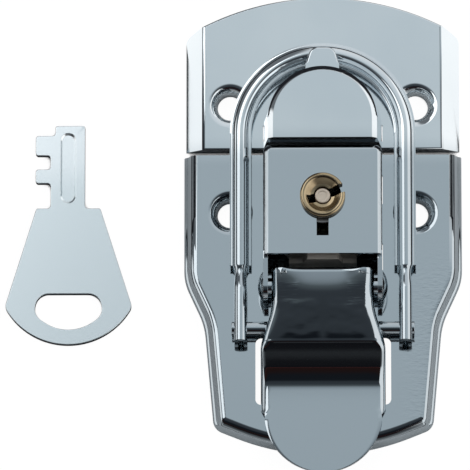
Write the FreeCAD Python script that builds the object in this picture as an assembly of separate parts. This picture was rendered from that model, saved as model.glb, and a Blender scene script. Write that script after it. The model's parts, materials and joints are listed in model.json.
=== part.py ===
import FreeCAD, Part
import math
import os
from FreeCAD import Vector

# Lockable toggle latch, millimetres. The origin is the middle of the base plate's two
# screw holes on the mounting plane. +X is to the right, +Y points to the keeper and
# +Z stands off the panel. Each sub-part is one function that returns its solid.
# Outlines are lists of (x, y, corner radius), side views of (y, z, corner radius).

# Sheets and the two pressed plates
plate_t = 1.0
plate_z = 3.0
case_t = 0.8
parting_y = 10.2
parting_gap = 1.0
beyond = 30.0
hair = 0.01

# Screw holes of both plates
screw_x = 16.0
keeper_screw_y = 19.0
screw_r = 2.2
seat_r = 3.85
collar_t = 0.5

# Base plate outline: half width, waist and foot, with corner radii
base_half = 23.95
base_bevel = 1.9
shoulder_y = -11.7
shoulder_r = 9.0
waist_x = 20.45
waist_y = -19.3
waist_r = 12.0
foot_x = 18.85
foot_y = -37.45
foot_corner = 2.4
foot_point_y = -45.05
foot_arc = 40.0
inner_bevel = 2.3

# Keeper plate outline
keeper_half = 23.6
keeper_bevel = 3.0
bevel_foot_z = 0.5
keeper_shoulder_y = 31.2
keeper_shoulder_r = 1.6
keeper_corner_x = 20.5
keeper_corner_y = 33.17
keeper_corner_r = 1.2
keeper_point_y = 43.17
keeper_arc = 45.0

# Window under the lever and the drawn cup that takes the key's tip
window_half = 11.66
window_low = -33.7
window_high = -21.9
window_r = 1.0
tip_cup_r = 2.8
tip_cup_wall = 0.5
tip_cup_floor = 1.0
tip_cup_low = 0.4

# Lock case, its ears and the keyhole
case_half = 10.2
case_low = -9.1
case_high = 10.0
case_z = 12.5
case_corner_r = 1.3
case_edge = 0.75
ear_root_y = -8.5
ear_top_z = 11.95
ear_side = [(-12.4, plate_z, 1.5), (-16.3, 5.3, 2.2), (-17.1, 8.3, 2.4), (-16.4, 11.7, 2.4),
            (-9.9, ear_top_z, 1.5), (ear_root_y, ear_top_z, 0), (ear_root_y, plate_z, 0)]
plug_y = 0.9
keyhole_r = 3.25
keyslot_w = 2.05
keyslot_low = -6.0

# Clinched tabs: where they pass the plates along Y, and how they fold over behind
case_tabs = [(1.6, 6.4), (-10.0, -5.6)]
dome_tab = (12.7, 15.3)
dome_back_tab_half = 2.0
ward_tab = (-4.4, -1.4)
tab_z = 1.1
tab_fold = 2.2
tab_play = 0.12
tab_root = 0.5
fold_play = 0.02

# Lever pivot and the bail's pin, seen from the side
pivot_y = -14.1
pivot_z = 8.3
rivet_r = 1.5
rivet_head_r = 2.7
rivet_head_t = 0.9
rivet_upset_r = 2.0
rivet_upset_t = 0.6
running = 0.05
seated = 0.02
pin_y = -20.95
pin_z = 6.0
pin_r = 1.2
pin_half = 15.7

# Lever: face line from the heel over the crease to the tongue, and its outline
lever_t = 0.9
heel_y = -11.85
heel_z = 11.8
brow_y = -17.6
brow_z = 11.1
crease_y = -23.7
crease_z = 9.0
tongue_y = -30.4
tongue_z = 5.0
tongue_bend_r = 2.5
tongue_mid_y = -35.6
tongue_r = 10.1
tongue_low = tongue_mid_y - tongue_r
lever_top_half = 8.8
lever_low_half = 10.7
lever_flare = [(-18.4, 9.0), (-23.6, 9.0)]
lever_shoulder = [(-34.6, 0.8), (-35.9, 0.8)]
tongue_round = 10.0
flange_side = [(-35.9, 14.0, 0), (-35.9, 4.6, 0), (-31.0, 3.7, 1.0), (-22.45, 3.8, 1.5), (-18.15, 4.1, 2.0),
               (-16.1, 5.8, 2.0), (-11.8, 5.9, 2.2), (heel_y, 8.9, 1.2), (heel_y, 14.0, 0)]

# Bail: a hoop of a half-round ridge with flanges, and hollow legs
bail_outer_r = 16.0
bail_mid_y = 13.2
bail_flange = 0.65
bail_ridge_r = 1.2
bail_t = 0.6
bail_base_z = 5.9
groove_depth = 0.5
ridge_flats = 4
bail_step_y = -10.0
bail_end_y = -23.3
leg_x = bail_outer_r - bail_flange - bail_ridge_r
leg_half = 1.1
leg_crown = 8.4
leg_low_z = 4.4
leg_full_y = -14.2
leg_neck_half = 0.95
leg_neck_crown = 7.6
leg_neck_low = 6.0
leg_lap = 0.3
leg_end_r = 1.6

# Catch dome and its hook
dome_half = 10.2
dome_low = 11.35
dome_mid_y = 14.7
dome_top_y = dome_mid_y + dome_half
dome_z = 12.0
dome_draft = 0.9
dome_t = 0.8
dome_edge = 0.8
hook_z = 9.0
hook_t = 0.9
hook_root_y = 23.2
hook_root_half = 2.9
hook_tip_y = 27.8
hook_tip_half = 1.95
hook_root_r = 1.2
hook_tip_r = 1.6

# Ward bridge with its leaf spring and two rivets
ward_low = 7.4
ward_high = 8.4
ward_half = 9.3
ward_t = 0.7
ward_front = -5.6
ward_back = 8.9
ward_r = 3.7
ward_slot_half = 1.05
ward_bend = 0.5
spring_rivet_x = 4.5
spring_rivet_y = 7.6
spring_rivet_r = 0.8
spring_rivet_head_r = 1.3
spring_rivet_head_t = 0.5
spring_t = 0.4
spring_half = 8.2
spring_arm_w = 1.7
spring_strip = (6.6, 8.6)
spring_arm_side = [(6.7, 2.5), (0.3, 0.12), (-0.8, running), (-1.9, 0.45)]
spring_rivet_proud = 0.3

# Lock bolt: a fork plate with an upturned lip, and what the key's bit sweeps out of it
bolt_low = 3.3
bolt_high = 4.5
bolt_half = 8.4
bolt_back = 8.4
bolt_throw = 3.3
bolt_shoulder_y = -5.4
bolt_neck_y = -8.9
bolt_neck_half = 4.6
bolt_lip_y = -9.7
bolt_lip_t = 0.9
lip_side = [(5.8, 6.6), (3.4, 7.0), (2.65, 10.3)]
bit_sweep_r = 6.0
notch_low = 1.75
notch_high = 3.45
notch_end_x = 6.2
tip_way_half = 1.1
tip_way_low = plug_y - 5.4
fork_left = -6.0
fork_right = 5.6

# Key guide plug and its clip
plug_head_r = 3.9
plug_rim_r = 3.25
plug_neck_r = 3.2
plug_groove_r = 2.7
plug_low = 9.0
plug_high = 14.0
plug_edge = 0.5
plug_bore_r = 1.55
plug_throat_z = 12.75
plug_slot_w = 1.5
plug_slot_far = -2.65
plug_turn_deg = 18.0
clip_low = 10.97
clip_high = 11.43
clip_r = 4.4
clip_gap_half = 1.2

# Key, lying beside the latch: blade up, two bits to the left, bow with a finger hole
key_t = 1.2
key_mid_x = -43.9
key_groove_depth = 0.3
key_blade = [(2.8, 0.5, 0), (2.8, 15.9, 0.4), (-2.35, 15.9, 0.4), (-2.35, 14.15, 0), (-5.75, 14.15, 0.5),
             (-5.75, 10.6, 0.5), (-3.2, 10.6, 0), (-3.2, 8.2, 0), (-5.75, 8.2, 0.5), (-5.75, 5.7, 0.5),
             (-3.15, 5.7, 0), (-3.15, 0.5, 0)]
key_bow = [(5.45, 1.3, 0.4), (-5.6, 1.3, 0.4), (-11.0, -16.1, 1.7), (0, -33.8, 12.4), (11.0, -16.1, 1.7)]
key_hole = [(-6.1, -17.4, 2.4), (0, -21.6, 7.3), (6.1, -17.4, 2.4), (5.2, -13.8, 2.3), (-5.2, -13.8, 2.3)]
key_groove = [(1.2, 2.2, 1.25), (1.2, 14.6, 1.25), (-1.45, 14.6, 1.25), (-1.45, 2.2, 1.25)]


def box(x0, x1, y0, y1, z0, z1):
    return Part.makeBox(x1 - x0, y1 - y0, z1 - z0, Vector(x0, y0, z0))


def post(x, y, z0, z1, r):
    return Part.makeCylinder(r, z1 - z0, Vector(x, y, z0))


def cross_post(x0, x1, y, z, r):
    return Part.makeCylinder(r, x1 - x0, Vector(x0, y, z), Vector(1, 0, 0))


def both_sides(shape):
    return [shape, shape.mirror(Vector(0, 0, 0), Vector(1, 0, 0))]


def polygon_face(points):
    return Part.Face(Part.makePolygon(points + points[:1]))


def corner_arc(before, corner, after, r):
    """The two tangent points and the mid point of a round of radius r at a corner."""
    to_before = (before - corner).normalize()
    to_after = (after - corner).normalize()
    half = math.acos(max(-1.0, min(1.0, to_before.dot(to_after)))) / 2
    reach = r / math.tan(half)
    bisector = (to_before + to_after).normalize()
    middle = corner + bisector * (r / math.sin(half) - r)
    return corner + to_before * reach, middle, corner + to_after * reach


def outline(corners, inset=0.0, z=0.0):
    """A closed wire through (x, y, radius) corners, anticlockwise, drawn in by inset."""
    count = len(corners)
    points = [Vector(x, y, z) for x, y, r in corners]
    moved = []
    radii = []
    for i in range(count):
        here = points[i]
        ahead = (points[(i + 1) % count] - here).normalize()
        back = (here - points[i - 1]).normalize()
        n1 = Vector(-back.y, back.x, 0)
        n2 = Vector(-ahead.y, ahead.x, 0)
        moved.append(here + (n1 + n2) * (inset / (1 + n1.dot(n2))))
        turn = back.x * ahead.y - back.y * ahead.x
        r = corners[i][2]
        radii.append(max(0.0, r - inset) if turn > 0 else r + inset)
    stretches = []
    for i in range(count):
        if radii[i] > hair and corners[i][2] > 0:
            stretches.append(corner_arc(moved[i - 1], moved[i], moved[(i + 1) % count], radii[i]))
        else:
            stretches.append((moved[i], None, moved[i]))
    edges = []
    for i in range(count):
        start, middle, end = stretches[i]
        if middle is not None:
            edges.append(Part.Arc(start, middle, end).toShape())
        onward = stretches[(i + 1) % count][0]
        if (onward - end).Length > hair / 10:
            edges.append(Part.LineSegment(end, onward).toShape())
    return Part.Wire(edges)


def slab(corners, z0, z1, inset=0.0):
    return Part.Face(outline(corners, inset, z0)).extrude(Vector(0, 0, z1 - z0))


def tapered(corners, z0, z1, inset0, inset1):
    return Part.makeLoft([outline(corners, inset0, z0), outline(corners, inset1, z1)], True, True)


def side_slab(corners, x0, x1):
    """A slab whose outline is drawn in the Y-Z plane as (y, z, radius) corners."""
    flat = slab(corners, x0, x1)
    flat.rotate(Vector(0, 0, 0), Vector(1, 1, 1), 120)
    return flat


def symmetric(right_side):
    """Close a right-hand list of corners, given from top to foot, with its mirror image."""
    left = [(-x, y, r) for x, y, r in right_side if x > 0]
    return [(x, y, r) for x, y, r in reversed(right_side)] + left


def edges_at(shape, z):
    return [e for e in shape.Edges if all(abs(v.Z - z) < hair / 10 for v in e.Vertexes)]


def turned(profile):
    """A solid of revolution about the Z axis from (radius, z) corners."""
    points = [Vector(r, 0, z) for r, z in profile]
    return polygon_face(points).revolve(Vector(0, 0, 0), Vector(0, 0, 1), 360)


def with_screw_holes(plate, y):
    """Drawn collars under both screw holes, each with a bore and a countersunk seat."""
    for x in (-screw_x, screw_x):
        collar = post(x, y, 0, plate_z - plate_t / 2, seat_r + collar_t)
        seat = Part.makeCone(screw_r, seat_r, plate_z - plate_t, Vector(x, y, plate_t))
        plate = plate.fuse(collar).cut([seat, post(x, y, -1, plate_t + hair, screw_r)])
    return plate


def tab_slots(half, t, low, high):
    """The pair of slots in a plate that a housing's side tabs pass through."""
    slot = box(half - t - tab_play, half + tab_play, low - tab_play, high + tab_play, 0, plate_z + 1)
    return both_sides(slot)


def clinch_tabs(half, t, low, high):
    """A tab down through the plate on each side, folded inwards behind it."""
    stem = box(half - t, half, low, high, tab_z, plate_z + tab_root)
    fold = box(half - tab_fold, half, low, high, tab_z, plate_z - plate_t - fold_play)
    return both_sides(stem.fuse(fold))


def make_base_plate():
    past = parting_y + beyond
    right = [(base_half, past, 0), (base_half, shoulder_y, shoulder_r), (waist_x, waist_y, waist_r),
             (foot_x, foot_y, foot_corner), (0, foot_point_y, foot_arc)]
    corners = symmetric(right)
    plain = [(x, y, 0 if r in (shoulder_r, waist_r) else r) for x, y, r in corners]
    outer = tapered(corners, 0, plate_z, 0, base_bevel)
    outer = outer.cut(box(-beyond, beyond, parting_y, past + 1, -1, plate_z + 1))
    inner = tapered(plain, -hair, plate_z - plate_t, plate_t, inner_bevel)
    inner = inner.cut(box(-beyond, beyond, parting_y - plate_t, past + 1, -1, plate_z + 1))
    cup = post(0, plug_y, tip_cup_low, plate_z - plate_t / 2, tip_cup_r + tip_cup_wall)
    plate = with_screw_holes(outer.cut(inner).fuse(cup), 0)
    window = symmetric([(window_half, window_high, window_r), (window_half, window_low, window_r)])
    openings = [slab(window, -1, plate_z + 1), post(0, plug_y, tip_cup_floor, plate_z + 1, tip_cup_r)]
    for low, high in case_tabs:
        openings += tab_slots(case_half, case_t, low, high)
    openings += tab_slots(ward_half, ward_t, *ward_tab)
    return plate.cut(openings).removeSplitter()


def keeper_form(inset, top):
    """The keeper's pressed form with its two side bevels, drawn in by inset."""
    low = parting_y + parting_gap
    right = [(0, keeper_point_y, keeper_arc), (keeper_corner_x, keeper_corner_y, keeper_corner_r),
             (keeper_half, keeper_shoulder_y, keeper_shoulder_r), (keeper_half, low, 0)]
    form = slab(symmetric(right), -hair if inset > 0 else 0, top, inset)
    foot_x = keeper_half - inset * 0.8
    run = keeper_bevel / (plate_z - bevel_foot_z)
    head_x = foot_x - run * (top + 1 - bevel_foot_z)
    wedge = polygon_face([Vector(foot_x, 0, bevel_foot_z), Vector(beyond, 0, bevel_foot_z),
                          Vector(beyond, 0, top + 1), Vector(head_x, 0, top + 1)])
    return form.cut(both_sides(wedge.extrude(Vector(0, 2 * beyond, 0))))


def make_keeper_plate():
    outer = keeper_form(0, plate_z)
    inner = keeper_form(plate_t, plate_z - plate_t)
    plate = with_screw_holes(outer.cut(inner), keeper_screw_y)
    back_half = dome_back_tab_half + tab_play
    back_slot = box(-back_half, back_half, dome_top_y - dome_t - tab_play, dome_top_y + tab_play,
                    0, plate_z + 1)
    return plate.cut(tab_slots(dome_half, dome_t, *dome_tab) + [back_slot]).removeSplitter()


def dome_form(inset, low, top, draft):
    """The dome's D shape: a round back and two straight sides, drawn in by inset."""
    foot = dome_half - inset
    head = foot - draft
    front_y = dome_low + inset
    if draft > 0:
        back = Part.makeCone(foot, head, top - low, Vector(0, dome_mid_y, low))
    else:
        back = post(0, dome_mid_y, low, top, foot)
    corners = [Vector(x, front_y, z) for x, z in ((foot, low), (head, top), (-head, top), (-foot, low))]
    sides = polygon_face(corners).extrude(Vector(0, dome_mid_y - front_y, 0))
    behind = box(-beyond, beyond, dome_mid_y, dome_mid_y + beyond, low, top)
    return sides.fuse(back.common(behind)).removeSplitter()


def make_catch_dome():
    outer = dome_form(0, plate_z, dome_z, dome_draft)
    outer = outer.makeChamfer(dome_edge, edges_at(outer, dome_z))
    inner = dome_form(dome_t + dome_draft / 2, plate_z - hair, dome_z - dome_t, 0)
    plan = symmetric([(hook_tip_half, hook_tip_y, hook_tip_r), (hook_root_half, dome_top_y, hook_root_r),
                      (hook_root_half, hook_root_y, 0)])
    hook = slab(plan, hook_z, hook_z + hook_t)
    half = dome_back_tab_half
    stem = box(-half, half, dome_top_y - dome_t, dome_top_y, tab_z, plate_z + tab_root)
    fold = box(-half, half, dome_top_y - tab_fold, dome_top_y, tab_z, plate_z - plate_t - fold_play)
    tabs = clinch_tabs(dome_half, dome_t, *dome_tab) + [stem, fold]
    return outer.fuse(hook).cut(inner).fuse(tabs).removeSplitter()


def make_lock_case():
    half = case_half
    plan = [(half, case_high, case_corner_r), (-half, case_high, case_corner_r), (-half, case_low, 0),
            (half, case_low, 0)]
    hollow = [(x, y if r else case_low - beyond, r) for x, y, r in plan]
    outer = slab(plan, plate_z, case_z)
    rims = [e for e in edges_at(outer, case_z) if e.CenterOfMass.y > case_low + hair]
    outer = outer.makeChamfer(case_edge, rims)
    case = outer.cut(slab(hollow, plate_z - 1, case_z - case_t, case_t))
    ear = side_slab(ear_side, half - case_t, half)
    tabs = [tab for low, high in case_tabs for tab in clinch_tabs(half, case_t, low, high)]
    case = case.fuse(both_sides(ear) + tabs)
    slot_half = keyslot_w / 2
    holes = [cross_post(-half - 1, half + 1, pivot_y, pivot_z, rivet_r + seated),
             post(0, plug_y, case_z - 2, case_z + 1, keyhole_r),
             box(-slot_half, slot_half, keyslot_low, plug_y, case_z - 2, case_z + 1)]
    return case.cut(holes).removeSplitter()


def make_lock_plug():
    """Brass guide with a rounded rim, a dished mouth, a bore and a slot open to one side."""
    seat_z = case_z + running
    plug = turned([(plug_bore_r, plug_low), (plug_neck_r, plug_low), (plug_neck_r, clip_low - seated),
                   (plug_groove_r, clip_low - seated), (plug_groove_r, clip_high + seated),
                   (plug_neck_r, clip_high + seated), (plug_neck_r, seat_z), (plug_head_r, seat_z),
                   (plug_head_r, plug_high - plug_edge), (plug_rim_r, plug_high),
                   (plug_bore_r, plug_throat_z)])
    half = plug_slot_w / 2
    plug = plug.cut(box(plug_slot_far, plug_head_r + 1, -half, half, plug_low - 1, plug_high + 1))
    plug.rotate(Vector(0, 0, 0), Vector(0, 0, 1), plug_turn_deg)
    plug.translate(Vector(0, plug_y, 0))
    return plug


def make_plug_clip():
    clip = post(0, 0, clip_low, clip_high, clip_r)
    clip = clip.cut([post(0, 0, clip_low - 1, clip_high + 1, plug_groove_r + seated),
                     box(0, clip_r + 1, -clip_gap_half, clip_gap_half, clip_low - 1, clip_high + 1)])
    clip.rotate(Vector(0, 0, 0), Vector(0, 0, 1), plug_turn_deg)
    clip.translate(Vector(0, plug_y, 0))
    return clip


def spring_rivet_holes():
    return [post(x, spring_rivet_y, ward_low - 1, ward_high + 1, spring_rivet_r + seated)
            for x in (-spring_rivet_x, spring_rivet_x)]


def make_ward_bridge():
    top = box(-ward_half, ward_half, ward_front, ward_back, ward_low, ward_high)
    bends = [e for e in edges_at(top, ward_high) if abs(abs(e.CenterOfMass.x) - ward_half) < hair]
    top = top.makeChamfer(ward_bend, bends)
    leg = box(ward_half - ward_t, ward_half, ward_front, ward_back, plate_z, ward_low + hair)
    tab = box(ward_half - ward_t, ward_half, ward_tab[0], ward_tab[1], tab_z, plate_z + hair)
    bridge = top.fuse(both_sides(leg) + both_sides(tab))
    slot = box(-ward_slot_half, ward_slot_half, ward_front - 1, plug_y, ward_low - 1, ward_high + 1)
    bridge = bridge.cut([post(0, plug_y, ward_low - 1, ward_high + 1, ward_r), slot] + spring_rivet_holes())
    return bridge.removeSplitter()


def make_lock_bolt():
    """A fork plate: its left side is swept clear, the key's bit drives the notch on the right."""
    rails = box(-bolt_half, bolt_half, bolt_shoulder_y, bolt_back, bolt_low, bolt_high)
    neck = slab([(-bolt_half, bolt_shoulder_y, 0), (-bolt_neck_half, bolt_neck_y, 1.5),
                 (bolt_neck_half, bolt_neck_y, 1.5), (bolt_half, bolt_shoulder_y, 0)], bolt_low, bolt_high)
    lip_half = lip_side[0][0]
    foot = box(-lip_half, lip_half, bolt_lip_y, bolt_neck_y + 1, bolt_low, bolt_high)
    right = [(lip_half, bolt_low)] + lip_side
    lip = [Vector(x, bolt_lip_y, z) for x, z in right + [(-x, z) for x, z in reversed(right)]]
    bolt = rails.fuse([neck, foot, polygon_face(lip).extrude(Vector(0, bolt_lip_t, 0))])
    top = bolt_high + 1
    bit_home = post(0, plug_y, 0, top, bit_sweep_r)
    bit_thrown = post(0, plug_y + bolt_throw, 0, top, bit_sweep_r)
    left = box(-beyond, 0, -beyond, beyond, 0, top)
    above_notch = box(0, beyond, notch_low, beyond, 0, top)
    below_notch = box(0, beyond, -beyond, notch_high, 0, top)
    tip_way = box(-tip_way_half, tip_way_half, tip_way_low, plug_y, 0, top)
    notch = box(0, notch_end_x, notch_low, notch_high, 0, top)
    fork = box(fork_left, fork_right, plug_y + bolt_throw, beyond, 0, top)
    return bolt.cut([bit_home.common(left), bit_thrown.common(left), bit_home.common(above_notch),
                     bit_thrown.common(below_notch), tip_way, notch, fork]).removeSplitter()


def make_bolt_spring():
    """A strip under the ward bridge with an arm each side that presses on the bolt."""
    strip = box(-spring_half, spring_half, spring_strip[0], spring_strip[1], ward_low - spring_t, ward_low)
    strip = strip.cut(spring_rivet_holes())
    under = [(y, bolt_high + rise) for y, rise in spring_arm_side]
    over = [(y, z + spring_t) for y, z in reversed(under)]
    arm = polygon_face([Vector(spring_half - spring_arm_w, y, z) for y, z in under + over])
    return strip.fuse(both_sides(arm.extrude(Vector(spring_arm_w, 0, 0)))).removeSplitter()


def make_spring_rivets():
    low_z = ward_low - spring_t
    rivet = turned([(0, low_z - spring_rivet_head_t), (spring_rivet_head_r, low_z - spring_rivet_head_t),
                    (spring_rivet_head_r, low_z), (spring_rivet_r, low_z),
                    (spring_rivet_r, ward_high + spring_rivet_proud), (0, ward_high + spring_rivet_proud)])
    rivet.translate(Vector(spring_rivet_x, spring_rivet_y, 0))
    return Part.makeCompound(both_sides(rivet))


def make_pivot_rivets():
    """Domed outside, upset inside the lever's flange, short so that the bolt can pass between."""
    outside = case_half + running
    inside = lever_top_half - lever_t - running
    shank = cross_post(inside - rivet_upset_t, outside + hair, pivot_y, pivot_z, rivet_r)
    dome_r = (rivet_head_r ** 2 + rivet_head_t ** 2) / (2 * rivet_head_t)
    ball = Part.makeSphere(dome_r, Vector(outside + rivet_head_t - dome_r, pivot_y, pivot_z))
    head = ball.common(cross_post(outside, outside + 2, pivot_y, pivot_z, rivet_head_r))
    upset = cross_post(inside - rivet_upset_t, inside, pivot_y, pivot_z, rivet_upset_r)
    return Part.makeCompound(both_sides(shank.fuse([head, upset]).removeSplitter()))


def lever_side(drop):
    """The lever's face line seen from the side, lowered by drop, from heel to tongue tip."""
    heel = Vector(0, heel_y, heel_z - drop)
    brow = Vector(0, brow_y, brow_z - drop)
    crease = Vector(0, crease_y, crease_z - drop)
    foot = Vector(0, tongue_y, tongue_z - drop)
    tip = Vector(0, tongue_low - 4, tongue_z - drop)
    start, middle, end = corner_arc(crease, foot, tip, tongue_bend_r)
    return [Part.Arc(heel, brow, crease).toShape(), Part.LineSegment(crease, start).toShape(),
            Part.Arc(start, middle, end).toShape(), Part.LineSegment(end, tip).toShape()]


def under_face(drop, heel, floor):
    """All that lies under the lowered face line, down to a floor height, right across."""
    edges = lever_side(drop)
    first = edges[0].Vertexes[0].Point
    last = edges[-1].Vertexes[-1].Point
    ring = [last, Vector(0, last.y, floor), Vector(0, heel, floor), Vector(0, heel, first.z), first]
    if heel == first.y:
        ring.pop(3)
    wire = Part.Wire(edges + [Part.LineSegment(a, b).toShape() for a, b in zip(ring, ring[1:])])
    region = Part.Face(wire)
    region.translate(Vector(-beyond, 0, 0))
    return region.extrude(Vector(2 * beyond, 0, 0))


def make_toggle_lever():
    flare = [(lever_top_half, *lever_flare[0]), (lever_low_half, *lever_flare[1])]
    shoulder = [(lever_low_half, *lever_shoulder[0]), (tongue_r, *lever_shoulder[1])]
    tip = [(tongue_r, tongue_low, tongue_round)]
    plan = symmetric([(lever_top_half, heel_y + 5, 0)] + flare + shoulder + tip)
    top = heel_z + 1
    below = under_face(lever_t, heel_y + 5, -1)
    body = slab(plan, 0, top).common(under_face(0, heel_y, 0))
    walls = body.cut(slab(plan, -1, top, lever_t).common(below))
    walls = walls.common(side_slab(flange_side, -beyond, beyond))
    lever = walls.fuse(body.cut(below)).removeSplitter()
    return lever.cut([cross_post(-beyond, beyond, pivot_y, pivot_z, rivet_r + running),
                      cross_post(-beyond, beyond, pin_y, pin_z, pin_r + seated)])


def make_bail_pin():
    return cross_post(-pin_half, pin_half, pin_y, pin_z, pin_r)


def ridge_points(r):
    """Corners over a half circle of radius r, from left to right, as (across, up)."""
    turns = [math.pi * k / ridge_flats for k in range(ridge_flats + 1)]
    return [(-r * math.cos(a), r * math.sin(a)) for a in turns]


def bail_section():
    """The hoop's section in the X-Z plane: ridge above, a flange each side, a groove below."""
    reach = bail_ridge_r + bail_flange
    top = bail_base_z + bail_t
    groove = bail_ridge_r - bail_t
    ridge = [(x, top + z) for x, z in ridge_points(bail_ridge_r)]
    ring = [(-reach, bail_base_z), (-reach, top)] + ridge + [(reach, top), (reach, bail_base_z),
                                                             (groove, bail_base_z), (0, top + groove_depth),
                                                             (-groove, bail_base_z)]
    return polygon_face([Vector(leg_x + x, bail_mid_y, z) for x, z in ring])


def leg_section(y, half, crown, low):
    """The corners of a bail leg's channel, open below, in the X-Z plane at y."""
    bore = half - bail_t
    turn_z = crown - half
    ridge = [(x, turn_z + z) for x, z in ridge_points(half)]
    hollow = [(x, turn_z + z) for x, z in reversed(ridge_points(bore))]
    ring = [(-half, low)] + ridge + [(half, low), (bore, low)] + hollow + [(-bore, low)]
    return [Vector(leg_x + x, y, z) for x, z in ring]


def bridged(first, second):
    """A solid of plane faces between two like rings of corners."""
    sides = [polygon_face([first[i - 1], first[i], second[i], second[i - 1]]) for i in range(len(first))]
    return Part.Solid(Part.Shell([polygon_face(first), polygon_face(second)] + sides))


def make_bail():
    section = bail_section()
    arch = section.revolve(Vector(0, bail_mid_y, 0), Vector(0, 0, 1), 180)
    stretch = section.extrude(Vector(0, bail_step_y - bail_mid_y, 0))
    full = leg_section(leg_full_y, leg_half, leg_crown, leg_low_z)
    start = leg_section(bail_step_y + leg_lap, leg_neck_half, leg_neck_crown, leg_neck_low)
    neck = bridged(start, full)
    shank = polygon_face(full).extrude(Vector(0, bail_end_y - leg_full_y, 0))
    below = leg_low_z - hair
    rounded = side_slab([(bail_end_y, below, leg_end_r), (leg_full_y + 1, below, 0), (leg_full_y + 1, 12, 0),
                         (bail_end_y, 12, 0)], 0, beyond)
    leg = neck.fuse(shank.common(rounded))
    leg = leg.cut(cross_post(leg_x - 3, leg_x + 3, pin_y, pin_z, pin_r + running))
    return arch.fuse(both_sides(stretch) + both_sides(leg)).removeSplitter()


def make_key():
    key = slab(key_blade, 0, key_t).fuse(slab(key_bow, 0, key_t)).removeSplitter()
    key = key.cut([slab(key_hole, -1, key_t + 1), slab(key_groove, key_t - key_groove_depth, key_t + 1)])
    key.translate(Vector(key_mid_x, 0, 0))
    return key


parts = {
    "base_plate": make_base_plate,
    "lock_case": make_lock_case,
    "ward_bridge": make_ward_bridge,
    "lock_bolt": make_lock_bolt,
    "bolt_spring": make_bolt_spring,
    "spring_rivets": make_spring_rivets,
    "lock_plug": make_lock_plug,
    "plug_clip": make_plug_clip,
    "pivot_rivets": make_pivot_rivets,
    "toggle_lever": make_toggle_lever,
    "bail": make_bail,
    "bail_pin": make_bail_pin,
    "keeper_plate": make_keeper_plate,
    "catch_dome": make_catch_dome,
    "key": make_key,
}

os.makedirs("parts", exist_ok=True)
for node, make in parts.items():
    shape = make()
    bounds = shape.BoundBox
    print(node, len(shape.Solids), "valid" if shape.isValid() else "INVALID", round(shape.Volume, 1),
          [round(v, 2) for v in (bounds.XMin, bounds.XMax, bounds.YMin, bounds.YMax,
                                 bounds.ZMin, bounds.ZMax)])
    shape.exportStep("parts/" + node + ".step")
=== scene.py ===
import bmesh
import bpy
import json
import math
from mathutils import Matrix, Vector


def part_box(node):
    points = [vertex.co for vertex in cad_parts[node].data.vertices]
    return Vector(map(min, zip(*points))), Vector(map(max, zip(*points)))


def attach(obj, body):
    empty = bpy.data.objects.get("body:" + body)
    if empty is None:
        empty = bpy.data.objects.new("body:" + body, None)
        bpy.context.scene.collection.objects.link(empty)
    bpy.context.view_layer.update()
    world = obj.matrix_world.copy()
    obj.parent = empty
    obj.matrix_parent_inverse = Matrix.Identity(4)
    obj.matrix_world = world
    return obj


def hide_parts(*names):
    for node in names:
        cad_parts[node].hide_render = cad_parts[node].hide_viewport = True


# Lockable toggle latch with its key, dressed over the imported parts.
# Lengths in the dictionaries are in millimetres and are turned into metres where they are used.

mm = 0.001
tiny, hair = 0.01, 0.02  # how far a point may stand from where it is looked for
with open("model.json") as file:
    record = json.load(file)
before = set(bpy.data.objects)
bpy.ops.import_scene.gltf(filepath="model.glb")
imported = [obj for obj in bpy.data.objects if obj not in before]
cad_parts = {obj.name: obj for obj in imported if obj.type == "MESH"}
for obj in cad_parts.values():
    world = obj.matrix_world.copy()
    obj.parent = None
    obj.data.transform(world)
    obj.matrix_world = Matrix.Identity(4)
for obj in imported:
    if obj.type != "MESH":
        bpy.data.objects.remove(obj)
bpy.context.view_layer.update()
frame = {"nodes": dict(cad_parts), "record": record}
bpy.ops.object.select_all(action="DESELECT")


# Shader sums written as plain expressions
class Wire:
    def __init__(self, tree, socket=None):
        self.tree = tree
        self.socket = socket

    def node(self, kind, settings=None, inputs=None, output=0):
        made = self.tree.nodes.new(kind)
        for key, value in (settings or {}).items():
            if key == "stops":
                fillRamp(made.color_ramp, value)
            else:
                setattr(made, key, value)
        for key, value in (inputs or {}).items():
            if isinstance(value, Wire):
                self.tree.links.new(value.socket, made.inputs[key])
            else:
                made.inputs[key].default_value = value
        return Wire(self.tree, made.outputs[output])

    def math(self, operation, first, second=None):
        inputs = {0: first} if second is None else {0: first, 1: second}
        return self.node("ShaderNodeMath", {"operation": operation}, inputs)

    def __add__(self, other):
        return self.math("ADD", self, other)

    def __radd__(self, other):
        return self.math("ADD", other, self)

    def __sub__(self, other):
        return self.math("SUBTRACT", self, other)

    def __rsub__(self, other):
        return self.math("SUBTRACT", other, self)

    def __mul__(self, other):
        return self.math("MULTIPLY", self, other)

    def __rmul__(self, other):
        return self.math("MULTIPLY", other, self)

    def __truediv__(self, other):
        return self.math("DIVIDE", self, other)

    def __rtruediv__(self, other):
        return self.math("DIVIDE", other, self)

    def __abs__(self):
        return self.math("ABSOLUTE", self)

    def atMost(self, other):
        return self.math("MINIMUM", self, other)

    def atLeast(self, other):
        return self.math("MAXIMUM", self, other)

    def rise(self, low, high):  # 0 below low, 1 above high, smooth between them
        inputs = {0: self, 1: low, 2: high, 3: 0.0, 4: 1.0}
        return self.node("ShaderNodeMapRange", {"interpolation_type": "SMOOTHSTEP"}, inputs)

    def between(self, low, high, soft):
        return self.rise(low - soft, low) * (1 - self.rise(high, high + soft))

    def axes(self):
        made = self.node("ShaderNodeSeparateXYZ", None, {0: self})
        return [Wire(self.tree, out) for out in made.socket.node.outputs]

    def paint(self, rgb):  # a plain colour
        made = self.node("ShaderNodeRGB")
        made.socket.default_value = (*rgb, 1.0)
        return made

    def blendTo(self, rgb, factor):  # this colour, mixed with another
        return self.node("ShaderNodeMix", {"data_type": "RGBA"}, {0: factor, 6: self, 7: (*rgb, 1.0)}, 2)


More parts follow.
